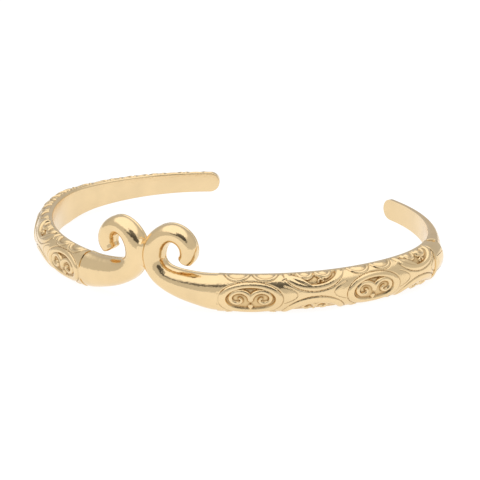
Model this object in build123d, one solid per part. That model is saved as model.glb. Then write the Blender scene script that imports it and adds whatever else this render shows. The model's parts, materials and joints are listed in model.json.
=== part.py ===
from build123d import *
import math
import os

# Hinged open cuff bracelet, millimetres. +Z up, front at -Y, opening at +Y, symmetric line at X = 0.
# An angle in degrees names a place along the cuff: the direction that the outside faces, counted
# from the front towards +X. A section is drawn as (distance outwards from the inner face, height).

# driving dimensions: inner line, three tangent arcs on each side
FRONT_RADIUS = 30.75
SIDE_RADIUS = 18.0
REAR_RADIUS = 26.7
SIDE_START = 73.0
REAR_START = 107.0
INNER_FRONT_Y = -26.3
TIP_ANGLE = 155.0

# band section: flat back, flat lands along both edges, half-elliptical crown
BAND_HEIGHT = 5.2
BAND_THICKNESS = 2.8
LAND_SHARE = 0.286
LINER_SHARE = 0.18
WALL = 0.5
FIT_GAP = 0.03
CAVITY_OVERCUT = 0.1
TIP_HEIGHT = 3.35
TOP_DROP_SHARE = 0.2
TAPER_START = 85.0
LEFT_TIP_THICKNESS = 1.5
LEFT_TAPER_POWER = 1.3
LEFT_CAVITY_END = 138.0

# rear arm behind the hinge
ARM_START = 101.0
ARM_ROOT = 97.0
ARM_START_THICKNESS = 2.4
ARM_TIP_THICKNESS = 0.9
ARM_LAND_SHARE = 0.6
ARM_CAVITY_END = 124.0

# front scrolls
SCROLL_ROOT = 19.8
SPIGOT_LENGTH = 2.4
SCROLL_SECTIONS = 25
SCROLL_TIP_DEPTH = 1.0
SCROLL_DEPTH_SLOPE = 1.12

# hinge
PIN_ANGLE = 94.0
PIN_OFFSET = 1.9
PIN_RADIUS = 0.5
PIN_CLEARANCE = 0.05
COLLAR_START = 89.5
COLLAR_RADIUS = 2.55
ARM_END_RADIUS = 2.62
SLOT_LOW = 1.42
SLOT_HIGH = 3.78
SLOT_END_RADIUS = 1.0
TONGUE_LOW = 1.5
TONGUE_HIGH = 3.7
KNUCKLE_RADIUS = 0.88
TONGUE_BLOCK_END = 109.0
FORK_SPIGOT_START = 84.5
SLOT_CUT_LENGTH = 6.0
SLOT_FLOOR = 0.5
SLOT_BACK_WALL = 0.1
TONGUE_GAP = 0.08
TONGUE_OVERREACH = 0.6
HEEL_LENGTH = 1.15
HEEL_INNER = 0.72
HEEL_OUTER = 0.15
SPRING_THICKNESS = 0.2
SPRING_HEIGHT = 1.6
SPRING_START = 66.0
SPRING_FOOT_END = 75.0
SPRING_TIP_END = 91.4
SPRING_HEEL_GAP = 0.02
RIVET_ANGLE = 67.5
RIVET_RADIUS = 0.4
RIVET_HEAD_RADIUS = 0.68
RIVET_HEAD_HEIGHT = 0.3
RIVET_GAP = 0.02
DRILL_LENGTH = 6.0


def inner_point(angle):
    """Point of the inner line on the +X side."""
    front = math.radians(min(angle, SIDE_START))
    side = math.radians(min(max(angle, SIDE_START), REAR_START))
    rear = math.radians(max(angle, REAR_START))
    side_start = math.radians(SIDE_START)
    rear_start = math.radians(REAR_START)
    x = FRONT_RADIUS * math.sin(front)
    x += SIDE_RADIUS * (math.sin(side) - math.sin(side_start))
    x += REAR_RADIUS * (math.sin(rear) - math.sin(rear_start))
    y = INNER_FRONT_Y + FRONT_RADIUS * (1 - math.cos(front))
    y += SIDE_RADIUS * (math.cos(side_start) - math.cos(side))
    y += REAR_RADIUS * (math.cos(rear_start) - math.cos(rear))
    return Vector(x, y, 0)


def outward(angle):
    return Vector(math.sin(math.radians(angle)), -math.cos(math.radians(angle)), 0)


def along(angle):
    return Vector(math.cos(math.radians(angle)), math.sin(math.radians(angle)), 0)


def station(angle):
    """Section plane: local x outwards, local y up."""
    return Plane(inner_point(angle), x_dir=outward(angle), z_dir=along(angle) * -1)


def arc_axis(angle, radius):
    centre = inner_point(angle) - outward(angle) * radius
    return Axis(centre, (0, 0, 1))


def d_face(thickness, low, high, back=0.0, inset=0.0, land_share=LAND_SHARE):
    """Flat-backed section; inset moves its lands and crown inwards."""
    land = land_share * thickness
    middle = (low + high) / 2
    half = (high - low) / 2 - inset
    reach = thickness - land - inset
    crown = EllipticalCenterArc((land, middle), reach, half, start_angle=-90, arc_size=180)
    lower = Line((back, middle - half), (land, middle - half))
    upper = Line((land, middle + half), (back, middle + half))
    rear = Line((back, middle + half), (back, middle - half))
    return make_face([lower, crown, upper, rear])


def strip_face(depth, low, high):
    """Rectangular section of a liner strip."""
    return Pos(depth / 2, (low + high) / 2) * Rectangle(depth, high - low)


def swept_arc(face, start, end, radius):
    """A constant section carried round one arc of the inner line."""
    return revolve(station(start) * face, arc_axis(start, radius), end - start)


def band_run(face, start, end):
    """A constant section from one angle to another, across the front and side arcs."""
    pieces = []
    if start < SIDE_START:
        pieces.append(swept_arc(face, start, min(end, SIDE_START), FRONT_RADIUS))
    if end > SIDE_START:
        pieces.append(swept_arc(face, max(start, SIDE_START), end, SIDE_RADIUS))
    return pieces[0] if len(pieces) == 1 else pieces[0] + pieces[1]


def band_face(back=0.0, inset=0.0):
    return d_face(BAND_THICKNESS, 0, BAND_HEIGHT, back, inset)


def heights(angle):
    """Bottom and top of the band: the height eases down towards the tip, mostly from below."""
    share = max(0.0, (angle - TAPER_START) / (TIP_ANGLE - TAPER_START))
    drop = (BAND_HEIGHT - TIP_HEIGHT) * (1 - (1 - share) ** 2)
    return drop * (1 - TOP_DROP_SHARE), BAND_HEIGHT - drop * TOP_DROP_SHARE


def left_thickness(angle):
    share = max(0.0, (angle - TAPER_START) / (TIP_ANGLE - TAPER_START))
    extra = BAND_THICKNESS - LEFT_TIP_THICKNESS
    return LEFT_TIP_THICKNESS + extra * (1 - share) ** LEFT_TAPER_POWER


def arm_thickness(angle):
    share = (angle - ARM_START) / (TIP_ANGLE - ARM_START)
    return ARM_TIP_THICKNESS + (ARM_START_THICKNESS - ARM_TIP_THICKNESS) * (1 - share) ** 2


def spread(start, end, count):
    return [start + (end - start) * i / (count - 1) for i in range(count)]


def tapered(start, end, count, section):
    """A tapering run through sections that a function gives for each angle."""
    return loft([station(angle) * section(angle) for angle in spread(start, end, count)])


def pin_plane():
    """At the hinge pin: local x along the cuff, local y inwards, local z up."""
    centre = inner_point(PIN_ANGLE) + outward(PIN_ANGLE) * PIN_OFFSET
    return Plane(centre, x_dir=along(PIN_ANGLE), z_dir=(0, 0, 1))


def pin_cylinder(radius, low=-1.0, high=BAND_HEIGHT + 1.0):
    return pin_plane() * Pos(0, 0, (low + high) / 2) * Cylinder(radius, high - low)


def pin_box(along_range, outward_range, height_range):
    """Box beside the pin; outward_range is measured from the inner face."""
    (a0, a1), (n0, n1), (z0, z1) = along_range, outward_range, height_range
    middle = Pos((a0 + a1) / 2, PIN_OFFSET - (n0 + n1) / 2, (z0 + z1) / 2)
    return pin_plane() * middle * Box(a1 - a0, n1 - n0, z1 - z0)


def tip_corners():
    """What is cut off at the tip of an arm to leave a round tongue end."""
    low, high = heights(TIP_ANGLE)
    radius = (high - low) / 2
    frame = station(TIP_ANGLE)
    block = frame * Pos(0, (low + high) / 2, 0) * Box(12, 3 * radius, 2 * radius)
    tongue = frame * Pos(0, (low + high) / 2, radius) * Rot(0, 90, 0) * Cylinder(radius, 14)
    return block - tongue


# points of a scroll's centre line: distance along the inner line, height, half width
SCROLL_POINTS = [
    (math.radians(SCROLL_ROOT) * FRONT_RADIUS, 2.6, 2.6),
    (8.4, 2.8, 2.38),
    (6.2, 3.2, 2.15),
    (4.1, 3.8, 1.88),
    (2.4, 4.8, 1.66),
    (1.42, 6.4, 1.58),
    (1.4, 8.1, 1.6),
    (2.15, 9.6, 1.5),
    (4.2, 10.7, 1.37),
    (6.0, 9.7, 1.32),
    (6.5, 8.3, 1.3),
    (6.35, 7.5, 1.22),
    (6.0, 6.9, 1.1),
]


def scroll_plane(distance, height, heading):
    """Section plane on the front wall for a path that climbs and turns as heading says."""
    angle = math.degrees(distance / FRONT_RADIUS)
    centre = inner_point(angle) if angle >= 0 else Vector(0, INNER_FRONT_Y, 0)
    origin = Vector(centre.X, centre.Y, height)
    side = along(angle) * -heading[1] + Vector(0, 0, heading[0])
    return Plane(origin, x_dir=outward(angle), z_dir=outward(angle).cross(side))


def scroll_body():
    """The right-hand scroll: it leaves the band, climbs to the middle and curls over outwards."""
    path = Spline(*SCROLL_POINTS, tangents=[(-1, 0, -0.03), (-0.5, -0.86, -0.15)])
    sections = []
    for step in range(SCROLL_SECTIONS):
        share = step / (SCROLL_SECTIONS - 1)
        distance, height, half = path @ share
        run = path % share
        size = math.hypot(run.X, run.Y)
        plane = scroll_plane(distance, height, (-run.X / size, -run.Y / size))
        depth = min(BAND_THICKNESS, SCROLL_TIP_DEPTH + SCROLL_DEPTH_SLOPE * half)
        sections.append(plane * d_face(depth, -half, half))
    return loft(sections)


def scroll():
    spigot_face = band_face(LINER_SHARE * BAND_THICKNESS + FIT_GAP, WALL + FIT_GAP)
    spigot_end = SCROLL_ROOT + math.degrees(SPIGOT_LENGTH / FRONT_RADIUS)
    spigot = swept_arc(spigot_face, SCROLL_ROOT, spigot_end, FRONT_RADIUS)
    return split(scroll_body() + spigot, bisect_by=Plane.YZ, keep=Keep.TOP)


def left_band():
    """Shell and liner of the left side, drawn on the +X side; the tip is a round tongue."""
    def outer(angle):
        thickness = left_thickness(angle)
        return d_face(thickness, *heights(angle), LINER_SHARE * thickness)

    def hollow(angle):
        thickness = left_thickness(angle)
        return d_face(thickness, *heights(angle), LINER_SHARE * thickness - CAVITY_OVERCUT, WALL)

    def strip(angle):
        return strip_face(LINER_SHARE * left_thickness(angle), *heights(angle))

    back = LINER_SHARE * BAND_THICKNESS
    shell = band_run(band_face(back), SCROLL_ROOT, TAPER_START)
    shell += tapered(TAPER_START, TIP_ANGLE, 9, outer) - tip_corners()
    shell -= band_run(band_face(back, WALL), SCROLL_ROOT, TAPER_START)
    shell -= tapered(TAPER_START, LEFT_CAVITY_END, 7, hollow)
    liner = band_run(strip_face(back, 0, BAND_HEIGHT), SCROLL_ROOT, TAPER_START)
    liner += tapered(TAPER_START, TIP_ANGLE, 9, strip) - tip_corners()
    return shell, liner


def right_band():
    back = LINER_SHARE * BAND_THICKNESS
    shell = band_run(band_face(back), SCROLL_ROOT, COLLAR_START)
    shell -= band_run(band_face(back, WALL), SCROLL_ROOT, COLLAR_START)
    liner = band_run(strip_face(back, 0, BAND_HEIGHT), SCROLL_ROOT, PIN_ANGLE)
    rounded_end = swept_arc(strip_face(back, 0, BAND_HEIGHT), PIN_ANGLE, TONGUE_BLOCK_END, SIDE_RADIUS)
    liner += rounded_end & pin_cylinder(COLLAR_RADIUS)
    return shell, liner


def hinge_fork():
    """Collar of the right band: rounded about the pin, slotted for the tongue."""
    back = LINER_SHARE * BAND_THICKNESS
    fork = swept_arc(band_face(back), COLLAR_START, PIN_ANGLE, SIDE_RADIUS)
    fork += swept_arc(band_face(back), PIN_ANGLE, TONGUE_BLOCK_END, SIDE_RADIUS) & pin_cylinder(COLLAR_RADIUS)
    fork += swept_arc(band_face(back + FIT_GAP, WALL + FIT_GAP), FORK_SPIGOT_START, COLLAR_START, SIDE_RADIUS)
    slot_height = (SLOT_LOW, SLOT_HIGH)
    fork -= pin_box((0, 2 * COLLAR_RADIUS), (back - SLOT_FLOOR, 2 * BAND_THICKNESS), slot_height)
    fork -= pin_cylinder(SLOT_END_RADIUS, *slot_height)
    fork -= pin_box((-SLOT_CUT_LENGTH, 0), (back - SLOT_FLOOR, PIN_OFFSET - SLOT_BACK_WALL), slot_height)
    return fork - pin_cylinder(PIN_RADIUS)


def hinge_pin():
    """Filed flush with the crown at both ends."""
    collar = swept_arc(band_face(), COLLAR_START, TONGUE_BLOCK_END, SIDE_RADIUS)
    return pin_cylinder(PIN_RADIUS) & collar


def arm_face(angle, inset=0.0, back_gap=0.0):
    thickness = arm_thickness(angle)
    back = LINER_SHARE * thickness + back_gap
    return d_face(thickness, *heights(angle), back, inset, ARM_LAND_SHARE)


def hinge_tongue():
    """Knuckle, heel and the block that plugs the end of the rear arm."""
    back = LINER_SHARE * BAND_THICKNESS
    height = (TONGUE_LOW, TONGUE_HIGH)
    knuckle = pin_cylinder(KNUCKLE_RADIUS, *height)
    bar = pin_box((0, ARM_END_RADIUS + TONGUE_OVERREACH), (back + TONGUE_GAP, 2 * BAND_THICKNESS), height)
    collar = swept_arc(band_face(back), COLLAR_START, TONGUE_BLOCK_END, SIDE_RADIUS)
    heel = pin_box((-HEEL_LENGTH, 0), (PIN_OFFSET - HEEL_INNER, PIN_OFFSET - HEEL_OUTER), height)
    block = tapered(ARM_ROOT, TONGUE_BLOCK_END, 5, lambda a: arm_face(a, WALL + FIT_GAP, FIT_GAP))
    block -= pin_cylinder(ARM_END_RADIUS)
    tongue = ((knuckle + bar) & collar & pin_cylinder(ARM_END_RADIUS)) + heel + block
    return tongue - pin_cylinder(PIN_RADIUS + PIN_CLEARANCE)


def rear_arm():
    def strip(angle):
        return strip_face(LINER_SHARE * arm_thickness(angle), *heights(angle))

    shell = tapered(ARM_ROOT, TIP_ANGLE, 9, arm_face) - tip_corners()
    shell -= tapered(ARM_ROOT, ARM_CAVITY_END, 6, lambda a: arm_face(a, WALL, -CAVITY_OVERCUT))
    shell -= pin_cylinder(ARM_END_RADIUS)
    liner = tapered(ARM_ROOT, TIP_ANGLE, 9, strip) - tip_corners()
    return shell, liner - pin_cylinder(ARM_END_RADIUS)


def leaf_spring():
    """Flat on the liner at its rivet, then rising to bear on the heel of the tongue."""
    back = LINER_SHARE * BAND_THICKNESS
    low = (BAND_HEIGHT - SPRING_HEIGHT) / 2
    foot_face = Pos(back + SPRING_THICKNESS / 2, BAND_HEIGHT / 2) * Rectangle(SPRING_THICKNESS, SPRING_HEIGHT)
    foot = band_run(foot_face, SPRING_START, SPRING_FOOT_END)
    rise = PIN_OFFSET - HEEL_INNER - SPRING_HEEL_GAP - SPRING_THICKNESS - back

    def blade(angle):
        share = (angle - SPRING_FOOT_END) / (SPRING_TIP_END - SPRING_FOOT_END)
        offset = back + SPRING_THICKNESS / 2 + rise * share * share * (3 - 2 * share)
        return Pos(offset, low + SPRING_HEIGHT / 2) * Rectangle(SPRING_THICKNESS, SPRING_HEIGHT)

    spring = foot + tapered(SPRING_FOOT_END, SPRING_TIP_END, 6, blade)
    return spring - rivet_hole()


def spring_rivet():
    """Shank through the liner and the spring, with a head on the spring."""
    back = LINER_SHARE * BAND_THICKNESS
    frame = station(RIVET_ANGLE)
    shank_length = back + SPRING_THICKNESS + RIVET_GAP
    shank = frame * Pos(shank_length / 2, BAND_HEIGHT / 2) * Rot(0, 90, 0) * Cylinder(RIVET_RADIUS, shank_length)
    seat = frame * Pos(shank_length + RIVET_HEAD_HEIGHT / 2, BAND_HEIGHT / 2)
    head = seat * Rot(0, 90, 0) * Cylinder(RIVET_HEAD_RADIUS, RIVET_HEAD_HEIGHT)
    return shank + head


def rivet_hole():
    frame = station(RIVET_ANGLE)
    return frame * Pos(0, BAND_HEIGHT / 2) * Rot(0, 90, 0) * Cylinder(RIVET_RADIUS, DRILL_LENGTH)


def bracelet():
    right_scroll = scroll()
    left_shell, left_liner = left_band()
    right_shell, right_liner = right_band()
    arm_shell, arm_liner = rear_arm()
    return {
        "scroll_right": right_scroll,
        "scroll_left": mirror(right_scroll, Plane.YZ),
        "band_shell_left": mirror(left_shell, Plane.YZ),
        "band_liner_left": mirror(left_liner, Plane.YZ),
        "band_shell_right": right_shell,
        "band_liner_right": right_liner - rivet_hole(),
        "hinge_fork": hinge_fork(),
        "hinge_pin": hinge_pin(),
        "hinge_spring": leaf_spring(),
        "spring_rivet": spring_rivet(),
        "hinge_tongue": hinge_tongue(),
        "arm_shell": arm_shell,
        "arm_liner": arm_liner,
    }


def main():
    parts = bracelet()
    boxes = [part.bounding_box() for part in parts.values()]
    middle_x = (min(b.min.X for b in boxes) + max(b.max.X for b in boxes)) / 2
    middle_y = (min(b.min.Y for b in boxes) + max(b.max.Y for b in boxes)) / 2
    bottom = min(b.min.Z for b in boxes)
    pin = pin_plane().origin
    print("moved by", round(-middle_x, 4), round(-middle_y, 4), round(-bottom, 4))
    print("pin at", round(pin.X - middle_x, 4), round(pin.Y - middle_y, 4))
    os.makedirs("parts", exist_ok=True)
    for name, part in parts.items():
        placed = Pos(-middle_x, -middle_y, -bottom) * part
        export_step(placed, f"parts/{name}.step")


main()
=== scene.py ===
import json
import math
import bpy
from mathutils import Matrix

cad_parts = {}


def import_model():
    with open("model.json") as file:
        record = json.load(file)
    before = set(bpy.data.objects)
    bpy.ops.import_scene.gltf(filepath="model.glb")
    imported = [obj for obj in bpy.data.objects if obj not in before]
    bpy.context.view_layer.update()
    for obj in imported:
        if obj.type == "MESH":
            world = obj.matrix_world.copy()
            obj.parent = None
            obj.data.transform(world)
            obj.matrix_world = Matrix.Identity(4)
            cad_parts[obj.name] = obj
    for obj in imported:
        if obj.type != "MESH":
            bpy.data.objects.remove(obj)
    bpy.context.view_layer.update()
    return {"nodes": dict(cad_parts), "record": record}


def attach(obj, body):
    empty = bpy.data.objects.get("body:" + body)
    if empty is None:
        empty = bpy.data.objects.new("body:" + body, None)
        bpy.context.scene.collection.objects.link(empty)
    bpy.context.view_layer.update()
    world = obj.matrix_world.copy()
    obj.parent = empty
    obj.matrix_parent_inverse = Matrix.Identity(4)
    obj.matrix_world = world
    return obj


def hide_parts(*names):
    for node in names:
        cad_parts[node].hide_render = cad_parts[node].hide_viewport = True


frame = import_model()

from types import SimpleNamespace

import bpy
import numpy as np
from mathutils import Matrix, Vector

# Millimetres throughout; MM turns them into metres. An angle in degrees names a place along the
# cuff: the direction its outside faces, counted from the front (-Y) towards the hinge side (+X).
MM = 0.001

# inner line of the cuff: three tangent arcs on each side
FRONT_RADIUS = 30.75
SIDE_RADIUS = 18.0
REAR_RADIUS = 26.7
SIDE_START = 73.0
REAR_START = 107.0
INNER_FRONT_Y = -26.3
TIP_ANGLE = 155.0

# band section: shares are of its thickness, except for the top's share of the taper
BAND_HEIGHT = 5.2
BAND_THICKNESS = 2.8
LAND_SHARE = 0.286
LINER_SHARE = 0.18
TIP_HEIGHT = 3.35
TOP_DROP_SHARE = 0.2
TAPER_START = 85.0
LEFT_TIP_THICKNESS = 1.5
LEFT_TAPER_POWER = 1.3
TIP_BLUNTNESS = 0.002
WALL = 0.5
LEAST_HOLLOW_HALF = 0.02
LEAST_HOLLOW_REACH = 0.05
CROWN_SAMPLES = 1000

# where the pieces of the band start and end
SCROLL_ROOT = 19.8
COLLAR_START = 89.5
PIN_ANGLE = 94.0
PIN_OFFSET = 1.9
COLLAR_RADIUS = 2.55


def smooth(low, high, value):
    share = np.clip((value - low) / (high - low), 0.0, 1.0)
    return share * share * (3 - 2 * share)


# ---------------------------------------------------------------- the cuff's line and section

def inner_line(angle):
    """x, y of the inner line at angles of 0 and more, as arrays."""
    front = np.radians(np.minimum(angle, SIDE_START))
    side = np.radians(np.clip(angle, SIDE_START, REAR_START))
    rear = np.radians(np.maximum(angle, REAR_START))
    side_start, rear_start = math.radians(SIDE_START), math.radians(REAR_START)
    x = FRONT_RADIUS * np.sin(front)
    x = x + SIDE_RADIUS * (np.sin(side) - math.sin(side_start))
    x = x + REAR_RADIUS * (np.sin(rear) - math.sin(rear_start))
    y = INNER_FRONT_Y + FRONT_RADIUS * (1 - np.cos(front))
    y = y + SIDE_RADIUS * (math.cos(side_start) - np.cos(side))
    y = y + REAR_RADIUS * (math.cos(rear_start) - np.cos(rear))
    return x, y


def crown_table():
    """Length up the full-size crown from its middle, against the ellipse's own angle."""
    turns = np.linspace(-math.pi / 2, math.pi / 2, CROWN_SAMPLES)
    reach = BAND_THICKNESS * (1 - LAND_SHARE)
    steps = np.hypot(np.diff(reach * np.cos(turns)), np.diff(BAND_HEIGHT / 2 * np.sin(turns)))
    lengths = np.concatenate([[0], np.cumsum(steps)])
    return turns, lengths - lengths[-1] / 2


CROWN_TURNS, CROWN_LENGTHS = crown_table()
CROWN_REACH = CROWN_LENGTHS[-1]


def row_shift():
    """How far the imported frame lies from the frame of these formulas: read off the hinge axis."""
    pin = frame["record"]["behaviour"]["joints"][0]["pos_m"]
    x, y = inner_line(np.array(PIN_ANGLE))
    turn = math.radians(PIN_ANGLE)
    return pin[0] / MM - (x + PIN_OFFSET * math.sin(turn)), pin[1] / MM - (y - PIN_OFFSET * math.cos(turn))


SHIFT_X, SHIFT_Y = row_shift()


def place(angle, out, height, side=1):
    """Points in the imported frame, in metres, from angle, distance outwards and height."""
    x, y = inner_line(angle)
    turn = np.radians(angle)
    x = (x + out * np.sin(turn)) * side + SHIFT_X
    y = y - out * np.cos(turn) + SHIFT_Y
    return np.stack(np.broadcast_arrays(x, y, height), axis=-1) * MM


def band_section(angle):
    """Thickness, bottom and top of the carved band."""
    share = np.clip((angle - TAPER_START) / (TIP_ANGLE - TAPER_START), 0, 1)
    drop = (BAND_HEIGHT - TIP_HEIGHT) * (1 - (1 - share) ** 2)
    thick = LEFT_TIP_THICKNESS + (BAND_THICKNESS - LEFT_TIP_THICKNESS) * (1 - share) ** LEFT_TAPER_POWER
    return thick, drop * (1 - TOP_DROP_SHARE), BAND_HEIGHT - drop * TOP_DROP_SHARE


def tongue(angle, radius):
    """Share of the full height that is left near the rounded tip."""
    to_tip = np.radians(TIP_ANGLE - angle) * REAR_RADIUS
    return np.sqrt(np.clip(1 - (1 - np.clip(to_tip / radius, TIP_BLUNTNESS, 1)) ** 2, 0, 1))


# ---------------------------------------------------------------- meshes

def make_piece(name, points, faces, body, material, stands_for=(), sharp=40):
    """One piece that rides a body, with the edges over the sharp angle kept crisp."""
    mesh = bpy.data.meshes.new(name)
    mesh.from_pydata(points.reshape(-1, 3).tolist(), [], faces)
    mesh.validate()
    mesh.shade_smooth()
    mesh.set_sharp_from_angle(angle=math.radians(sharp))
    mesh.materials.append(material)
    piece = bpy.data.objects.new(name, mesh)
    bpy.context.scene.collection.objects.link(piece)
    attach(piece, body)
    if stands_for:
        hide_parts(*stands_for)
    return piece


def quads(columns, rows, start=0, flip=False):
    """Faces of a grid of points stored column by column."""
    faces = []
    for i in range(columns - 1):
        a = start + i * rows
        b = a + rows
        for j in range(rows - 1):
            face = (a + j, b + j, b + j + 1, a + j + 1)
            faces.append(face[::-1] if flip else face)
    return faces


def tube(columns, rows, flip=False):
    """Faces of a closed tube: one ring of points in each column, and a cap at each end."""
    faces = quads(columns, rows, 0, flip)
    for i in range(columns - 1):
        a, b = i * rows, (i + 1) * rows
        face = (a, a + rows - 1, b + rows - 1, b)
        faces.append(face[::-1] if flip else face)
    first = list(range(rows))
    last = [(columns - 1) * rows + k for k in range(rows)]
    faces.append(first[::-1] if flip else first)
    faces.append(last if flip else last[::-1])
    return faces


def store_values(piece, values):
    """Keeps named numbers at each point for the material to read."""
    for name, field in values.items():
        layer = piece.data.attributes.new(name, "FLOAT", "POINT")
        layer.data.foreach_set("value", np.asarray(field, np.float32).ravel())


# ---------------------------------------------------------------- carving
# Places are lengths along the crown from the front (s) and up the section from the crown's middle
# (v). Heights are over the smooth band.

UNIT_FIRST = 16.4
UNIT_LENGTH = 9.35
UNIT_OVERLAP = 0.15
UNITS_RIGHT = 4
UNITS_LEFT = 7
GROUND_RISE = 0.12
RECESS = 0.26
WALL_REACH = 0.3
RIDGE_FULLNESS = 0.65
RIDGE_TAPER = 0.5
RIDGE_MARGIN = 0.1
BLADE_FULLNESS = 0.7
BLADE_POINT = 0.04
CURVE_POINTS = 24
SPIRAL_POINTS = 40
FAR = 9.0

# fine engraved line
CUT_DEPTH = 0.09
CUT_HALF_WIDTH = 0.07
CUT_OUTSIDE_RIM = 0.03

# rim and floor of an oval
RIM_RISE = 0.22
RIM_FULLNESS = 0.55
RIM_LEAST_WIDTH = 0.05
FLOOR_WALL = (-0.04, 0.14)

# scallop: a lip, and a dish that rises towards its middle
SCALLOP_RISE = 0.2
LIP_INSET = 0.22
LIP_HALF_WIDTH = 0.26
LIP_FULLNESS = 0.7
LIP_FOOT = (-0.02, 0.16)
DISH_INSET = 0.2
DISH_LOW = -0.02
DISH_RISE = 0.16
DISH_SPAN = (0.45, 1.3)

# pair of volutes over a leaf, at full size
VOLUTE_RADIUS = 1.75
VOLUTE_DROP = 0.35
VOLUTE_SQUEEZE = 0.8
VOLUTE_START = 182
VOLUTE_SWEEP = -410
VOLUTE_SHRINK = 0.84
VOLUTE_HALF_WIDTH = 0.46
VOLUTE_CREST = 0.12
LEAF_TOP = -1.15
LEAF_BOTTOM = -2.2
LEAF_HALF_WIDTH = 0.42
LEAF_CREST = 0.02

# full unit: an oval across the crown, scallops on both edges
FULL_OVAL_MIDDLE = -0.38
FULL_OVAL_RIM = (4.62, 2.58)
FULL_OVAL_FLOOR = (3.5, 1.72)
FULL_VOLUTE_MIDDLE = 0.02
FULL_SCALLOP_PLACES = (-2.0, 2.15)
FULL_SCALLOP_SIZE = (2.0, 1.45)

# half unit: a half oval on each edge, and what the upper one holds
LOWER_OVAL_MIDDLE = -3.5
LOWER_OVAL_RIM = (4.95, 3.32)
LOWER_OVAL_FLOOR = (3.95, 2.2)
LOWER_VOLUTE_MIDDLE = -1.75
LOWER_VOLUTE_SCALE = 0.62
UPPER_OVAL_MIDDLE = 3.6
UPPER_OVAL_RIM = (4.62, 3.05)
UPPER_OVAL_FLOOR = (3.6, 2.1)
UPPER_SCALLOP_PLACES = (-1.35, 1.5)
UPPER_SCALLOP_SIZE = (1.4, 1.25)
BLADE_LINE = [(-4.9, 2.35), (-3.5, 2.78), (-2.1, 2.15), (-0.4, 1.25)]
BLADE_HALF_WIDTH = 0.5
BLADE_BASE = -0.05
BLADE_CREST = 0.2
COMMA_CENTRE = (0.95, 1.98)
COMMA_RADIUS = 0.5
COMMA_SQUEEZE = 0.8
COMMA_START = 200
COMMA_SWEEP = -330
COMMA_SHRINK = 0.7
COMMA_POINTS = 16
COMMA_HALF_WIDTH = 0.2
COMMA_CREST = 0.02
HOOK_LINE = [(4.7, 3.3), (4.1, 2.6), (3.0, 1.75), (1.4, 1.25)]
HOOK_HALF_WIDTH = 0.34
HOOK_CREST = 0.2
WAIST_LINE = [(4.6, 1.5), (2.7, 0.22), (4.6, -1.0)]
WAIST_POINTS = 12

# how the first oval opens into the scroll's stem
STEM_BLEND = 0.9
STEM_MIDDLE = -0.35
STEM_HALF = 0.5
STEM_EDGE = (0.55, 0.35)


def ellipse_distance(s, v, half_s, half_v):
    """Signed distance, nearly, to an ellipse about the origin: negative inside."""
    a, b = s / half_s, v / half_v
    q = np.hypot(a, b) + 1e-6
    return (q - 1) * q / np.hypot(a / half_s, b / half_v).clip(1e-6)


def curve_distance(s, v, curve):
    """Distance to a curve and the share of the way along it, for every point of a grid."""
    best = np.full(s.shape, FAR)
    share = np.zeros(s.shape)
    for k in range(len(curve) - 1):
        (x0, y0), (x1, y1) = curve[k], curve[k + 1]
        dx, dy = x1 - x0, y1 - y0
        t = np.clip(((s - x0) * dx + (v - y0) * dy) / (dx * dx + dy * dy), 0, 1)
        distance = np.hypot(s - x0 - t * dx, v - y0 - t * dy)
        closer = distance < best
        best = np.where(closer, distance, best)
        share = np.where(closer, (k + t) / (len(curve) - 1), share)
    return best, share


def spiral(centre, radius, squeeze, start, sweep, shrink, points=SPIRAL_POINTS):
    """A volute: its radius shrinks evenly along the sweep."""
    share = np.linspace(0, 1, points)
    turn = np.radians(start + sweep * share)
    reach = radius * (1 - shrink * share)
    return list(zip(centre[0] + reach * np.cos(turn), centre[1] + squeeze * reach * np.sin(turn)))


def through(points, count=CURVE_POINTS):
    """A smooth curve through a few points."""
    share = np.linspace(0, 1, len(points))
    fine = np.linspace(0, 1, count)
    order = len(points) - 1
    xs, ys = (np.polyval(np.polyfit(share, line, order), fine) for line in np.array(points, float).T)
    return list(zip(xs, ys))


def raise_ridge(height, s, v, curve, half_width, base, crest, blade=False):
    """Adds a rounded ridge along a curve: tapering to its end, or a blade pointed at both ends."""
    reach = half_width + RIDGE_MARGIN
    xs, ys = [p[0] for p in curve], [p[1] for p in curve]
    near = (s > min(xs) - reach) & (s < max(xs) + reach) & (v > min(ys) - reach) & (v < max(ys) + reach)
    distance, share = curve_distance(s[near], v[near], curve)
    if blade:
        half = half_width * (np.sin(np.pi * share) ** BLADE_FULLNESS + BLADE_POINT)
    else:
        half = half_width * (1 - RIDGE_TAPER * share)
    profile = np.clip(1 - (distance / half) ** 2, 0, 1) ** RIDGE_FULLNESS
    raised = base + (crest - base) * profile
    height[near] = np.where(profile > 0, np.maximum(height[near], raised), height[near])


def blurred(height, cells):
    """Mean of the height over a square window, with the edges held."""
    for axis in (0, 1):
        padded = np.pad(height, [(cells + 1, cells) if k == axis else (0, 0) for k in (0, 1)], mode="edge")
        total = np.cumsum(padded, axis=axis)
        size = height.shape[axis]
        ahead = np.take(total, range(2 * cells + 1, 2 * cells + 1 + size), axis)
        height = (ahead - np.take(total, range(size), axis)) / (2 * cells + 1)
    return height


def cut_line(height, s, v, curve):
    """Cuts a fine engraved line."""
    distance, _ = curve_distance(s, v, curve)
    return height - CUT_DEPTH * np.exp(-((distance / CUT_HALF_WIDTH) ** 2))


def carve_cartouche(height, s, v, outer, inner):
    """A rounded rim between two ellipses round a sunk floor, with a fine cut outside it."""
    out = -ellipse_distance(s, v, *outer)
    into = -ellipse_distance(s, v, *inner)
    share = np.clip(out / np.maximum(out - into, RIM_LEAST_WIDTH), 0, 1)
    rim = RIM_RISE * (1 - (2 * share - 1) ** 2) ** RIM_FULLNESS
    floor = smooth(*FLOOR_WALL, into)
    carved = np.where(out > 0, rim * (1 - floor) - RECESS * floor, height)
    return carved - CUT_DEPTH * np.exp(-(((out + CUT_OUTSIDE_RIM) / CUT_HALF_WIDTH) ** 2))


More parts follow.
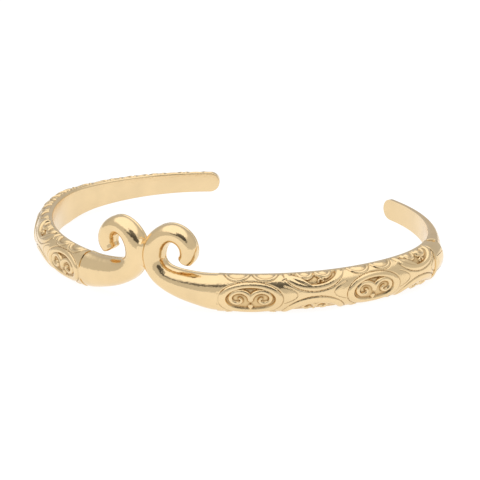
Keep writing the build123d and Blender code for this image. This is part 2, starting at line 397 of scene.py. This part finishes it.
def carve_scallop(height, s, v, half_width, drop):
    """A dished half disc that hangs from the edge of the band inside a raised lip."""
    distance = ellipse_distance(s, v - CROWN_REACH - WALL_REACH, half_width, drop + WALL_REACH)
    lip = SCALLOP_RISE * np.clip(1 - ((distance + LIP_INSET) / LIP_HALF_WIDTH) ** 2, 0, 1) ** LIP_FULLNESS
    dish = DISH_LOW + DISH_RISE * smooth(*DISH_SPAN, -distance)
    ground = height * smooth(*LIP_FOOT, distance)
    carved = np.where(distance < -DISH_INSET, np.maximum(lip, dish), np.maximum(lip, ground))
    return np.where(distance < LIP_FOOT[1], carved, height)


def carve_volutes(height, s, v, scale):
    """A pair of volutes that spring from one point and curl under, over a small leaf."""
    radius = VOLUTE_RADIUS * scale
    shape = (VOLUTE_SQUEEZE, VOLUTE_START, VOLUTE_SWEEP, VOLUTE_SHRINK)
    curve = spiral((radius, -VOLUTE_DROP * scale), radius, *shape)
    for way in (-1, 1):
        raise_ridge(height, s * way, v, curve, VOLUTE_HALF_WIDTH * scale ** 0.5, -RECESS, VOLUTE_CREST)
    leaf = [(0, LEAF_TOP * scale), (0, LEAF_BOTTOM * scale)]
    raise_ridge(height, s, v, leaf, LEAF_HALF_WIDTH * scale, -RECESS, LEAF_CREST, blade=True)


def carve_full_unit(height, s, v):
    """An oval cartouche across the crown, with two scallops along each edge."""
    for edge in (-1, 1):
        for centre in FULL_SCALLOP_PLACES:
            height = carve_scallop(height, s - centre, v * edge, *FULL_SCALLOP_SIZE)
    height = carve_cartouche(height, s, v - FULL_OVAL_MIDDLE, FULL_OVAL_RIM, FULL_OVAL_FLOOR)
    carve_volutes(height, s, v - FULL_VOLUTE_MIDDLE, 1.0)
    return height


def carve_half_unit(height, s, v):
    """A half oval on each edge, volutes in the lower one, and scallops, a blade, a comma and a hook
    in the upper one, with a cut line round the waist at each end."""
    height = carve_cartouche(height, s, v - LOWER_OVAL_MIDDLE, LOWER_OVAL_RIM, LOWER_OVAL_FLOOR)
    carve_volutes(height, s, v - LOWER_VOLUTE_MIDDLE, LOWER_VOLUTE_SCALE)
    height = carve_cartouche(height, s, v - UPPER_OVAL_MIDDLE, UPPER_OVAL_RIM, UPPER_OVAL_FLOOR)
    for centre in UPPER_SCALLOP_PLACES:
        height = carve_scallop(height, s - centre, v, *UPPER_SCALLOP_SIZE)
    raise_ridge(height, s, v, through(BLADE_LINE), BLADE_HALF_WIDTH, BLADE_BASE, BLADE_CREST, blade=True)
    shape = (COMMA_SQUEEZE, COMMA_START, COMMA_SWEEP, COMMA_SHRINK, COMMA_POINTS)
    comma = spiral(COMMA_CENTRE, COMMA_RADIUS, *shape)
    raise_ridge(height, s, v, comma, COMMA_HALF_WIDTH, -RECESS, COMMA_CREST)
    raise_ridge(height, s, v, through(HOOK_LINE), HOOK_HALF_WIDTH, 0.0, HOOK_CREST, blade=True)
    for way in (-1, 1):
        height = cut_line(height, s * way, v, through(WAIST_LINE, WAIST_POINTS))
    return height


def carving(s, v, units):
    """Height of the carving over the smooth band."""
    height = np.full(s.shape, GROUND_RISE)
    for k in range(units):
        centre = UNIT_FIRST + k * UNIT_LENGTH
        half = UNIT_LENGTH / 2 + UNIT_OVERLAP
        columns = (s[:, 0] > centre - half) & (s[:, 0] < centre + half)
        if k == units - 1:
            columns |= s[:, 0] > centre
        carve = carve_half_unit if k % 2 else carve_full_unit
        height[columns] = carve(height[columns], s[columns] - centre, v[columns])
    # the first oval runs into the scroll's stem without a step
    root = s[:1, :1]
    blend = smooth(0.0, STEM_BLEND, s - root)
    open_to_stem = smooth(*STEM_EDGE, np.abs(v - STEM_MIDDLE) - STEM_HALF)
    return height * (1 - (1 - blend) * open_to_stem)


# ---------------------------------------------------------------- carved shells

GRID_STEP_RIGHT = 0.075
GRID_STEP_LEFT = 0.09
LINE_SAMPLES = 4000
WALL_ROWS = 4
INNER_ROWS = 13
TIP_FADE = (0.2, 1.4)
LOWER_EDGE_FADE = 0.2
UPPER_WALL_FULL = 0.1
HOLLOW_DEPTH = 0.07
HOLLOW_CELLS = 3


def shell_stations(end, step):
    """Even steps along the crown: their length from the front, and their angle."""
    fine = np.linspace(SCROLL_ROOT, end, LINE_SAMPLES)
    thick, low, high = band_section(fine)
    crown = place(fine, thick, (low + high) / 2) / MM
    steps = np.hypot(np.diff(crown[:, 0]), np.diff(crown[:, 1]))
    start = math.radians(SCROLL_ROOT) * (FRONT_RADIUS + BAND_THICKNESS)
    along = start + np.concatenate([[0], np.cumsum(steps)])
    s = np.linspace(start, along[-1], int((along[-1] - start) / step) + 1)
    return s, np.interp(s, along, fine)


def shell_section(angle, rounded_tip):
    """The section's measures at each station, as columns."""
    thick, low, high = (measure[:, None] for measure in band_section(angle))
    land = LAND_SHARE * thick
    full_half = (high - low) / 2
    squeeze = tongue(angle[:, None], full_half[-1, 0]) if rounded_tip else np.ones_like(thick)
    return SimpleNamespace(
        land=land, back=LINER_SHARE * thick, reach=thick - land, middle=(high + low) / 2,
        full_half=full_half, squeeze=squeeze, half=full_half * squeeze,
    )


def shell_outside(s, cut, step, units, rounded_tip):
    """Distance out, height and carving of the outer rows, from the lower land to the upper one."""
    # the rows are spread evenly round the full-size crown
    v = np.linspace(-CROWN_REACH, CROWN_REACH, int(2 * CROWN_REACH / step) + 1)
    turn = np.interp(v, CROWN_LENGTHS, CROWN_TURNS)
    wall_v = np.linspace(CROWN_REACH + WALL_REACH, CROWN_REACH, WALL_ROWS + 1)[:-1]
    crown_s, crown_v = np.meshgrid(s, v, indexing="ij")
    wall_s, wall_v = np.meshgrid(s, wall_v, indexing="ij")
    scale = 2 * cut.half / BAND_HEIGHT
    if rounded_tip:
        scale = scale * smooth(*TIP_FADE, s[-1] - s[:, None])
    lower_edge = smooth(-CROWN_REACH, -CROWN_REACH + LOWER_EDGE_FADE, crown_v)
    height = carving(crown_s, crown_v, units) * scale * lower_edge
    upper_edge = smooth(CROWN_REACH + WALL_REACH, CROWN_REACH + UPPER_WALL_FULL, wall_v)
    wall_height = (carving(wall_s, wall_v, units) * upper_edge * scale)[:, ::-1]

    across = cut.squeeze * np.sin(turn)
    bulge = np.sqrt(np.clip(1 - across ** 2, 0, 1))
    normal_out = bulge / cut.reach
    normal_up = across / cut.full_half
    size = np.hypot(normal_out, normal_up)
    out = cut.land + cut.reach * bulge + height * normal_out / size
    rise = cut.middle + cut.full_half * across + height * normal_up / size

    # more rows carry the lands back to the liner: the lower one plain, the upper one with the
    # scallops running out over it
    share = np.linspace(0, 1, WALL_ROWS + 1)[:-1]
    edge = cut.land + cut.reach * np.sqrt(np.clip(1 - cut.squeeze ** 2, 0, 1))
    lower = cut.back + (edge - cut.back) * share
    low = np.repeat(cut.middle - cut.half, WALL_ROWS, 1)
    out = np.concatenate([lower, out, lower[:, ::-1]], axis=1)
    rise = np.concatenate([low, rise, cut.middle + cut.half + wall_height], axis=1)
    height = np.concatenate([np.zeros_like(lower), height, wall_height], axis=1)
    return out, rise, height


def shell_inside(cut):
    """Distance out and height of the inner rows, a wall's thickness inside the smooth band."""
    turn = np.linspace(-math.pi / 2, math.pi / 2, INNER_ROWS)
    out = cut.land + np.maximum(cut.reach - WALL, LEAST_HOLLOW_REACH) * np.cos(turn)
    rise = cut.middle + np.maximum(cut.half - WALL, LEAST_HOLLOW_HALF) * np.sin(turn)
    out = np.concatenate([cut.back, out, cut.back], axis=1)
    rise = np.concatenate([rise[:, :1], rise, rise[:, -1:]], axis=1)
    return out, rise


def shell_faces(columns, outer_rows, inner_rows, flip):
    """The outside, the inside, the two strips that face the liner, and the two ends."""
    base = columns * outer_rows
    faces = quads(columns, outer_rows, 0, flip)
    faces += quads(columns, inner_rows, base, not flip)
    for i in range(columns - 1):
        for outer, inner, turned in ((0, 0, False), (outer_rows - 1, inner_rows - 1, True)):
            a, b = i * outer_rows + outer, (i + 1) * outer_rows + outer
            c, d = base + (i + 1) * inner_rows + inner, base + i * inner_rows + inner
            faces.append((a, d, c, b) if turned == flip else (a, b, c, d))
    for i, turned in ((0, False), (columns - 1, True)):
        ring = list(range(i * outer_rows, (i + 1) * outer_rows))
        ring += list(range(base + (i + 1) * inner_rows - 1, base + i * inner_rows - 1, -1))
        faces.append(ring if turned == flip else ring[::-1])
    return faces


def band_shell(name, node, side, end, step, units, material):
    """The carved half-round shell: a carved outside, a plain inside, open at the back."""
    rounded_tip = end == TIP_ANGLE
    s, angle = shell_stations(end, step)
    cut = shell_section(angle, rounded_tip)
    out, rise, height = shell_outside(s, cut, step, units, rounded_tip)
    outside = place(angle[:, None], out, rise, side)
    inside = place(angle[:, None], *shell_inside(cut), side)
    faces = shell_faces(len(s), outside.shape[1], inside.shape[1], side < 0)
    points = np.concatenate([outside.reshape(-1, 3), inside.reshape(-1, 3)])
    piece = make_piece(name, points, faces, "front_band", material, (node,))
    plain = np.zeros(inside.shape[:2]).ravel()
    # how far the carving sinks below its surroundings: the material paints brown shade there
    hollow_shade = np.clip((blurred(height, HOLLOW_CELLS) - height) / HOLLOW_DEPTH, 0, 1)
    store_values(piece, {
        "carving": np.concatenate([height.ravel(), plain]),
        "hollow_shade": np.concatenate([hollow_shade.ravel(), plain]),
    })


# ---------------------------------------------------------------- left liner

LINER_ROUND = 0.42
LINER_TIP_SPAN = 4
LINER_TIP_STATIONS = 24
LINER_CORNER_POINTS = 6


def rounded_liner(name, node, side, end, material):
    """The flat inner strip with its inner edges rounded over."""
    straight = np.arange(SCROLL_ROOT, end - LINER_TIP_SPAN, 1.0)
    tip = end - LINER_TIP_SPAN * np.cos(np.linspace(0, math.pi / 2, LINER_TIP_STATIONS))
    angle = np.concatenate([straight, tip])[:, None]
    thick, low, high = band_section(angle)
    back = LINER_SHARE * thick
    middle = (high + low) / 2
    half = (high - low) / 2
    half = half * tongue(angle, half[-1])
    turn = np.linspace(0, math.pi / 2, LINER_CORNER_POINTS)
    radius = np.minimum(LINER_ROUND * back / back[0], half)
    low_out = radius * (1 - np.sin(turn))
    low_rise = middle - half + radius * (1 - np.cos(turn))
    out = np.concatenate([back, low_out, low_out[:, ::-1], back], axis=1)
    rise = np.concatenate([middle - half, low_rise, 2 * middle - low_rise[:, ::-1], middle + half], axis=1)
    points = place(angle, out, rise, side)
    faces = tube(*out.shape, side > 0)
    make_piece(name, points, faces, "front_band", material, (node,), sharp=50)


# ---------------------------------------------------------------- collar beads

BEAD_RADIUS = 0.23
BEAD_SETBACK = 0.7
BEAD_SIDES = 12
BEAD_END = 0.06
BEAD_FULL = 0.9
BEAD_FOOT = [0.25, 0.5]
CROWN_BEAD_POINTS = 40
END_BEAD_POINTS = 30
END_BEAD_FIRST = BAND_THICKNESS * 0.5
END_BEAD_LAST = 0.2


def bead(name, path, material):
    """A round wire of gold soldered along a path of points."""
    path = np.array(path)
    heading = np.gradient(path, axis=0)
    heading /= np.linalg.norm(heading, axis=1)[:, None]
    # the small numbers give a straight stretch a side direction too
    side = np.cross(heading, np.gradient(heading, axis=0) + (1e-9, 2e-9, 3e-9))
    side /= np.linalg.norm(side, axis=1)[:, None]
    for k in range(1, len(side)):
        if side[k] @ side[k - 1] < 0:
            side[k] *= -1
    lift = np.cross(side, heading)
    turn = np.linspace(0, 2 * math.pi, BEAD_SIDES + 1)[:-1, None]
    ends = np.linspace(BEAD_END, math.pi - BEAD_END, len(path))[:, None, None]
    swell = BEAD_RADIUS * MM * np.sqrt(np.sin(ends)).clip(0, BEAD_FULL)
    points = path[:, None] + swell * (np.cos(turn) * side[:, None] + np.sin(turn) * lift[:, None])
    faces = tube(*points.shape[:2])
    make_piece(name, points, faces, "front_band", material, sharp=60)


def collar_beads(material):
    """Two fine beads: one where the carving stops, one round the top of the rounded end."""
    land = LAND_SHARE * BAND_THICKNESS
    turn = np.linspace(-math.pi / 2, math.pi / 2, CROWN_BEAD_POINTS)
    out = np.concatenate([BEAD_FOOT, land + (BAND_THICKNESS - land) * np.cos(turn), BEAD_FOOT[::-1]])
    rise = np.concatenate([[0, 0], BAND_HEIGHT / 2 * (1 + np.sin(turn)), [BAND_HEIGHT, BAND_HEIGHT]])
    rise = np.maximum(rise, BEAD_RADIUS)
    bead("collar_bead", place(COLLAR_START + BEAD_SETBACK, out, rise), material)

    pin = place(PIN_ANGLE, PIN_OFFSET, BAND_HEIGHT)
    ring = COLLAR_RADIUS - BEAD_RADIUS
    first = math.asin((END_BEAD_FIRST - PIN_OFFSET) / ring)
    last = math.asin((END_BEAD_LAST - PIN_OFFSET) / ring)
    turn = math.radians(PIN_ANGLE) + math.pi / 2 - np.linspace(first, last, END_BEAD_POINTS)
    x = pin[0] + ring * MM * np.sin(turn)
    y = pin[1] - ring * MM * np.cos(turn)
    bead("collar_end_bead", np.stack([x, y, np.full(END_BEAD_POINTS, pin[2])], axis=-1), material)


# ---------------------------------------------------------------- scrolls

# centre line: distance along the inner line, height, half width
SCROLL_POINTS = [
    (math.radians(SCROLL_ROOT) * FRONT_RADIUS, 2.6, 2.6),
    (8.4, 2.8, 2.38),
    (6.2, 3.2, 2.15),
    (4.1, 3.8, 1.88),
    (2.4, 4.8, 1.66),
    (1.42, 6.4, 1.58),
    (1.4, 8.1, 1.6),
    (2.15, 9.6, 1.5),
    (4.2, 10.7, 1.37),
    (6.0, 9.7, 1.32),
    (6.5, 8.3, 1.3),
    (6.35, 7.5, 1.22),
    (6.0, 6.9, 1.1),
]
SCROLL_START_SLOPE = (-1, 0, -0.03)
SCROLL_END_SLOPE = (-0.5, -0.86, -0.15)
SCROLL_STATIONS = 260

# section: depth grows with the half width up to the band's own
SCROLL_TIP_DEPTH = 1.0
SCROLL_DEPTH_SLOPE = 1.12
SCROLL_CORNER = 0.12
CROWN_POINTS = 45
SEAM_HEIGHT = 0.5
SEAM_STEPS = (-0.09, -0.03, 0.03, 0.09)
SEAM_NOTCH = [0, 0.05, 0.05, 0, 0]

# blunt tip, the web where the pair meet, and the cast surface's faint waves
CAP_RINGS = 8
CAP_REACH = 0.32
CAP_LEAST = 0.0016
CAP_FLATNESS = 0.35
CONTACT_DEPTH = 2.35
CONTACT_EDGE = (0.3, -0.15)
WEB_REACH = 1.15
RIPPLE = 0.004
RIPPLE_WAVES = ((9.0, 3.1), (7.3, 2.3))
RIPPLE_FADE = (0.1, 0.5)


def smooth_path(points, count):
    """A curve with steady curvature through the points, with a set slope at each end."""
    points = np.array(points, float)
    knots = np.concatenate([[0], np.cumsum(np.linalg.norm(np.diff(points, axis=0), axis=1))])
    gaps = np.diff(knots)[:, None]
    slopes = np.diff(points, axis=0) / gaps
    size = len(points)
    system = np.zeros((size, size))
    target = np.zeros_like(points)
    system[0, 0] = 1
    target[0] = SCROLL_START_SLOPE
    system[-1, -1] = 1
    target[-1] = SCROLL_END_SLOPE
    for k in range(1, size - 1):
        before, after = gaps[k - 1, 0], gaps[k, 0]
        system[k, k - 1:k + 2] = (after, 2 * (before + after), before)
        target[k] = 3 * (after * slopes[k - 1] + before * slopes[k])
    speed = np.linalg.solve(system, target)
    at = np.linspace(0, knots[-1], count)
    k = np.clip(np.searchsorted(knots, at, side="right") - 1, 0, size - 2)
    gap = gaps[k]
    t = ((at - knots[k]) / gap[:, 0])[:, None]
    blend = t * t * (3 - 2 * t)
    pull = gap * (speed[k] * t * (1 - t) ** 2 - speed[k + 1] * t * t * (1 - t))
    return points[k] * (1 - blend) + points[k + 1] * blend + pull


def scroll_section(half, depth):
    """One side of the section to the other: flat back, side walls with a solder seam, crown."""
    land = LAND_SHARE * depth
    bend = np.radians([90, 60, 30, 0])
    seam = [SEAM_HEIGHT + step for step in SEAM_STEPS]
    wall_out = np.concatenate([SCROLL_CORNER - SCROLL_CORNER * np.sin(bend), seam, [land]])
    wall_in = np.concatenate([SCROLL_CORNER - SCROLL_CORNER * np.cos(bend), SEAM_NOTCH])
    turn = np.linspace(-math.pi / 2, math.pi / 2, CROWN_POINTS)[1:-1]
    across = np.concatenate([-half + wall_in, half * np.sin(turn), (half - wall_in)[::-1]])
    out = np.concatenate([wall_out, land + (depth - land) * np.cos(turn), wall_out[::-1]])
    return across, out


def scroll_path():
    """Centre line, heading and the share of the section that is left, with the tip's cap rings."""
    path = smooth_path(SCROLL_POINTS, SCROLL_STATIONS)
    heading = np.gradient(path[:, :2], axis=0)
    heading /= np.linalg.norm(heading, axis=1)[:, None]
    cap = np.sin(np.linspace(0, math.pi / 2, CAP_RINGS + 1)[1:])
    rings = [[*(path[-1, :2] + heading[-1] * CAP_REACH * c), path[-1, 2]] for c in cap]
    squeeze = np.sqrt(np.clip(1 - cap ** 2, CAP_LEAST, 1))
    path = np.concatenate([path, rings])
    heading = np.concatenate([heading, np.repeat(heading[-1:], CAP_RINGS, 0)])
    return path, heading, np.concatenate([np.ones(SCROLL_STATIONS), squeeze])


def scroll_ring(station, heading, share):
    """One ring of the sweep: distance along the inner line, distance out and height."""
    distance, height, half = station
    run, climb = heading
    depth = min(BAND_THICKNESS, SCROLL_TIP_DEPTH + SCROLL_DEPTH_SLOPE * half)
    across, out = scroll_section(half, depth)
    middle = depth / 2
    across = across * share
    out = middle + (out - middle) * (CAP_FLATNESS + (1 - CAP_FLATNESS) * share)
    along = distance + across * climb
    rise = height - across * run
    if share == 1:
        crown = out > LAND_SHARE * depth
        near = smooth(WEB_REACH, 0.0, along) * smooth(*CONTACT_EDGE, along.min()) * crown
        out = out + (np.maximum(out, CONTACT_DEPTH) - out) * near
        (a, b), (c, d) = RIPPLE_WAVES
        ripple = RIPPLE * np.sin(a * height + b * distance) * np.sin(c * distance - d * across)
        out = out + ripple * smooth(*RIPPLE_FADE, -across * run / half) * crown
    return np.stack([np.maximum(along, 0), out, rise], axis=-1)


def scroll(name, node, side, material):
    """Swept along its centre line, blunt at the tip and cut flat where the pair meet."""
    rings = np.array([scroll_ring(*station) for station in zip(*scroll_path())])
    angle = np.degrees(rings[..., 0] / FRONT_RADIUS)
    points = place(angle, rings[..., 1], rings[..., 2], side)
    faces = tube(*points.shape[:2], side > 0)
    make_piece(name, points, faces, "front_band", material, (node,), sharp=50)


# ---------------------------------------------------------------- materials

GOLD = (0.86, 0.65, 0.37)
GOLD_FLAT = (0.85, 0.645, 0.375)
GOLD_SATIN = (0.84, 0.60, 0.31)
STEEL = (0.36, 0.35, 0.33, 1)
STEEL_GRAIN_SCALE = 900
STEEL_ROUGHNESS = (0.22, 0.42)
DRIFT_SCALE = 260
DRIFT_DETAIL = 4
DRIFT_DARKER = 0.93
DRIFT_SPAN = (0.35, 0.65)
MARKS_SCALE = 2500
MARKS_DETAIL = 6
MARKS_SPREAD = (0.75, 1.35)
FLOOR_SPAN = (-0.22, -0.02)
# painted shade: this tint darkens the colour where the carving is deep; the floor's extra roughness is
# real
FLOOR_SHADE_TINT = (0.86, 0.82, 0.74)
FLOOR_ROUGHNESS = 0.38
# painted shade: brown mixed into the carving's narrow hollows
HOLLOW_SHADE_SHARE = 0.6
HOLLOW_SHADE_BROWN = (0.36, 0.21, 0.08, 1)


def new_metal(name):
    """A metal material: its nodes, its links and its shader's inputs."""
    material = bpy.data.materials.new(name)
    material.use_nodes = True
    nodes, links = material.node_tree.nodes, material.node_tree.links
    inputs = nodes["Principled BSDF"].inputs
    inputs["Metallic"].default_value = 1.0
    return material, nodes, links, inputs


def noise(nodes, links, scale, detail=None):
    """Fine noise fixed to the object."""
    coordinates = nodes.new("ShaderNodeTexCoord")
    node = nodes.new("ShaderNodeTexNoise")
    node.inputs["Scale"].default_value = scale
    if detail is not None:
        node.inputs["Detail"].default_value = detail
    links.new(coordinates.outputs["Object"], node.inputs["Vector"])
    return node.outputs["Fac"]


def spread(nodes, links, value, low, high):
    """Turns 0 to 1 into low to high."""
    node = nodes.new("ShaderNodeMapRange")
    node.inputs["To Min"].default_value = low
    node.inputs["To Max"].default_value = high
    links.new(value, node.inputs["Value"])
    return node


def carved_floor(nodes, links, colour, colour_out, rough_out):
    """A duller, rougher floor with painted shade where the carving is deep, and painted brown shade in its
    narrow hollows.
    """
    depth = nodes.new("ShaderNodeAttribute")
    depth.attribute_name = "carving"
    floor = spread(nodes, links, depth.outputs["Fac"], 1.0, 0.0)
    floor.inputs["From Min"].default_value = FLOOR_SPAN[0]
    floor.inputs["From Max"].default_value = FLOOR_SPAN[1]
    # painted shade: the colour is darkened by a tint where the carving is deep
    shaded_floor = nodes.new("ShaderNodeMix")
    shaded_floor.data_type = "RGBA"
    shaded_floor.inputs["B"].default_value = (*[c * s for c, s in zip(colour, FLOOR_SHADE_TINT)], 1)
    links.new(floor.outputs["Result"], shaded_floor.inputs["Factor"])
    links.new(colour_out, shaded_floor.inputs["A"])
    # painted shade: brown mixed in where the carving sinks into narrow hollows
    hollow_shade = nodes.new("ShaderNodeAttribute")
    hollow_shade.attribute_name = "hollow_shade"
    share = math_node(nodes, links, "MULTIPLY", hollow_shade.outputs["Fac"], HOLLOW_SHADE_SHARE)
    shaded_hollows = nodes.new("ShaderNodeMix")
    shaded_hollows.data_type = "RGBA"
    shaded_hollows.inputs["B"].default_value = HOLLOW_SHADE_BROWN
    links.new(share, shaded_hollows.inputs["Factor"])
    links.new(shaded_floor.outputs["Result"], shaded_hollows.inputs["A"])
    rough = nodes.new("ShaderNodeMix")
    rough.inputs["B"].default_value = FLOOR_ROUGHNESS
    links.new(floor.outputs["Result"], rough.inputs["Factor"])
    links.new(rough_out, rough.inputs["A"])
    return shaded_hollows.outputs["Result"], rough.outputs["Result"]


def gold(name, colour, roughness, grain=0.02, carved=False):
    """Yellow gold: slight colour drift, polishing marks, and a duller floor with painted shade where it is
    carved.
    """
    material, nodes, links, inputs = new_metal(name)
    ramp = nodes.new("ShaderNodeValToRGB")
    darker = [c * DRIFT_DARKER for c in colour]
    for element, position, tone in zip(ramp.color_ramp.elements, DRIFT_SPAN, (darker, colour)):
        element.position = position
        element.color = (*tone, 1)
    links.new(noise(nodes, links, DRIFT_SCALE, DRIFT_DETAIL), ramp.inputs["Fac"])
    marks = noise(nodes, links, MARKS_SCALE, MARKS_DETAIL)
    bump = nodes.new("ShaderNodeBump")
    bump.inputs["Strength"].default_value = 1.0
    bump.inputs["Distance"].default_value = grain * MM
    links.new(marks, bump.inputs["Height"])
    links.new(bump.outputs["Normal"], inputs["Normal"])
    low, high = (roughness * share for share in MARKS_SPREAD)
    colour_out, rough_out = ramp.outputs["Color"], spread(nodes, links, marks, low, high).outputs["Result"]
    if carved:
        colour_out, rough_out = carved_floor(nodes, links, colour, colour_out, rough_out)
    links.new(colour_out, inputs["Base Color"])
    links.new(rough_out, inputs["Roughness"])
    return material


def steel():
    """Plain grey spring steel with a fine grain."""
    material, nodes, links, inputs = new_metal("spring_steel")
    inputs["Base Color"].default_value = STEEL
    grain = noise(nodes, links, STEEL_GRAIN_SCALE)
    links.new(spread(nodes, links, grain, *STEEL_ROUGHNESS).outputs["Result"], inputs["Roughness"])
    return material


def math_node(nodes, links, operation, a, b=None, c=None):
    node = nodes.new("ShaderNodeMath")
    node.operation = operation
    for socket, value in zip(node.inputs, (a, b, c)):
        if value is None:
            continue
        if isinstance(value, (int, float)):
            socket.default_value = value
        else:
            links.new(value, socket)
    return node.outputs[0]


def finish_cad_node(node, material):
    mesh = frame["nodes"][node].data
    mesh.materials.clear()
    mesh.materials.append(material)


polished = gold("gold_polished", GOLD, roughness=0.10)
carved_gold = gold("gold_carved", GOLD, roughness=0.14, grain=0.03, carved=True)
flat_gold = gold("gold_flat", GOLD_FLAT, roughness=0.2)
satin_gold = gold("gold_satin", GOLD_SATIN, roughness=0.16)
spring_steel = steel()

for node, material in {
    "band_liner_right": flat_gold, "hinge_fork": polished, "hinge_pin": polished,
    "hinge_spring": spring_steel, "spring_rivet": polished, "hinge_tongue": polished,
    "arm_shell": satin_gold, "arm_liner": flat_gold,
}.items():
    finish_cad_node(node, material)

scroll("scroll_front_right", "scroll_right", 1, polished)
scroll("scroll_front_left", "scroll_left", -1, polished)
band_shell("carved_right", "band_shell_right", 1, COLLAR_START, GRID_STEP_RIGHT, UNITS_RIGHT, carved_gold)
band_shell("carved_left", "band_shell_left", -1, TIP_ANGLE, GRID_STEP_LEFT, UNITS_LEFT, carved_gold)
rounded_liner("rounded_liner_left", "band_liner_left", -1, TIP_ANGLE, flat_gold)
collar_beads(polished)


# ---------------------------------------------------------------- studio

CAMERA_DISTANCE = 268.24
CAMERA_AZIMUTH = 28.04
CAMERA_ELEVATION = 17.58
CAMERA_ROLL = 0.325
CAMERA_SENSOR = 36.0
CAMERA_LENS = 129.4
CAMERA_SHIFT = (0.0083, -0.0125)
CAMERA_CLIP_M = 0.01
TARGET_HEIGHT = 2.5

FLOOR_REACH_M = 1.5
FLOOR_GREY = (0.2, 0.2, 0.2, 1)
FLOOR_GLOW = 0.9
WHITE = (1, 1, 1, 1)

# the tent's light, and where it changes: heights and front-to-back places on the unit sphere
WALL_LIGHT = 0.71
TOP_LIGHT = 1.3
BACK_LIGHT = 0.86
TOP_EDGE = (0.62, 0.78)
BACK_EDGE = (-0.75, -0.2)
BACK_TOP_EDGE = (0.45, 0.6)

# the dark opening in front, between two elevations in degrees, and a round dark patch beside it
OPENING_AZIMUTH = 28.0
OPENING_BOTTOM = (27, 30)
OPENING_TOP = (42, 45)
OPENING_SIDES = (0.66, 0.76)
OPENING_DARKNESS = 0.85
LENS_AZIMUTH = 50.0
LENS_ELEVATION = 43.0
LENS_RADIUS = 19.0
LENS_EDGE = 3


def camera():
    data = bpy.data.cameras.new("camera")
    data.sensor_width = CAMERA_SENSOR
    data.lens = CAMERA_LENS
    data.shift_x, data.shift_y = CAMERA_SHIFT
    data.clip_start = CAMERA_CLIP_M
    azimuth, elevation, roll = (math.radians(a) for a in (CAMERA_AZIMUTH, CAMERA_ELEVATION, CAMERA_ROLL))
    level = math.cos(elevation)
    back = Vector((math.sin(azimuth) * level, -math.cos(azimuth) * level, math.sin(elevation)))
    right = Vector((math.cos(azimuth), math.sin(azimuth), 0))
    up = back.cross(right)
    tilted_right = right * math.cos(roll) + up * math.sin(roll)
    tilted_up = up * math.cos(roll) - right * math.sin(roll)
    target = Vector((SHIFT_X, SHIFT_Y, TARGET_HEIGHT)) * MM
    placed = Matrix((tilted_right, tilted_up, back)).transposed().to_4x4()
    placed.translation = target + back * CAMERA_DISTANCE * MM
    holder = bpy.data.objects.new("camera", data)
    holder.matrix_world = placed
    bpy.context.scene.collection.objects.link(holder)
    bpy.context.scene.camera = holder


def floor():
    """A flat white ground, lit mostly by its own glow."""
    mesh = bpy.data.meshes.new("floor")
    reach = FLOOR_REACH_M
    corners = [(-reach, -reach, 0), (reach, -reach, 0), (reach, reach, 0), (-reach, reach, 0)]
    mesh.from_pydata(corners, [], [(0, 1, 2, 3)])
    piece = bpy.data.objects.new("floor", mesh)
    bpy.context.scene.collection.objects.link(piece)
    material = bpy.data.materials.new("floor")
    material.use_nodes = True
    inputs = material.node_tree.nodes["Principled BSDF"].inputs
    inputs["Base Color"].default_value = FLOOR_GREY
    inputs["Roughness"].default_value = 1.0
    inputs["Specular IOR Level"].default_value = 0.0
    inputs["Emission Color"].default_value = WHITE
    inputs["Emission Strength"].default_value = FLOOR_GLOW
    mesh.materials.append(material)


def ramp_node(nodes, links, value, low, high, start, end):
    """A smooth change from start to end as value goes from low to high."""
    node = nodes.new("ShaderNodeMapRange")
    node.interpolation_type = "SMOOTHSTEP"
    for name, number in (("From Min", low), ("From Max", high), ("To Min", start), ("To Max", end)):
        node.inputs[name].default_value = number
    links.new(value, node.inputs["Value"])
    return node.outputs["Result"]


def world():
    """A white tent: bright overhead, softer at the sides, with a dark opening high in front."""
    surround = bpy.data.worlds.new("studio")
    bpy.context.scene.world = surround
    surround.use_nodes = True
    nodes, links = surround.node_tree.nodes, surround.node_tree.links
    coordinates = nodes.new("ShaderNodeTexCoord")
    split = nodes.new("ShaderNodeSeparateXYZ")
    links.new(coordinates.outputs["Generated"], split.inputs["Vector"])
    x, y, z = split.outputs

    def combine(operation, *values):
        return math_node(nodes, links, operation, *values)

    def ramp(value, span, start, end):
        return ramp_node(nodes, links, value, *span, start, end)

    def rise(elevations):
        return [math.sin(math.radians(e)) for e in elevations]

    opening = math.radians(OPENING_AZIMUTH)
    front = combine("MULTIPLY", y, -math.cos(opening))
    front = combine("MULTIPLY_ADD", x, math.sin(opening), front)
    top = ramp(z, TOP_EDGE, WALL_LIGHT, TOP_LIGHT)
    back = ramp(front, BACK_EDGE, BACK_LIGHT, 1.0)
    back = combine("MAXIMUM", back, ramp(z, BACK_TOP_EDGE, 0.0, 1.0))
    light = combine("MULTIPLY", top, back)

    above = ramp(z, rise(OPENING_BOTTOM), 0.0, 1.0)
    below = ramp(z, rise(OPENING_TOP), 1.0, 0.0)
    between = combine("MULTIPLY", above, below)
    band = combine("MULTIPLY", between, ramp(front, OPENING_SIDES, 0.0, 1.0))
    azimuth, elevation = math.radians(LENS_AZIMUTH), math.radians(LENS_ELEVATION)
    facing = combine("MULTIPLY", x, math.cos(elevation) * math.sin(azimuth))
    facing = combine("MULTIPLY_ADD", y, -math.cos(elevation) * math.cos(azimuth), facing)
    facing = combine("MULTIPLY_ADD", z, math.sin(elevation), facing)
    lens_span = [math.cos(math.radians(a)) for a in (LENS_RADIUS + LENS_EDGE, LENS_RADIUS)]
    hole = combine("MAXIMUM", band, ramp(facing, lens_span, 0.0, 1.0))
    kept = combine("SUBTRACT", 1.0, combine("MULTIPLY", hole, OPENING_DARKNESS))

    background = nodes["Background"]
    links.new(combine("MULTIPLY", light, kept), background.inputs["Strength"])
    background.inputs["Color"].default_value = WHITE


camera()
floor()
world()
bpy.context.scene.view_settings.view_transform = "Standard"
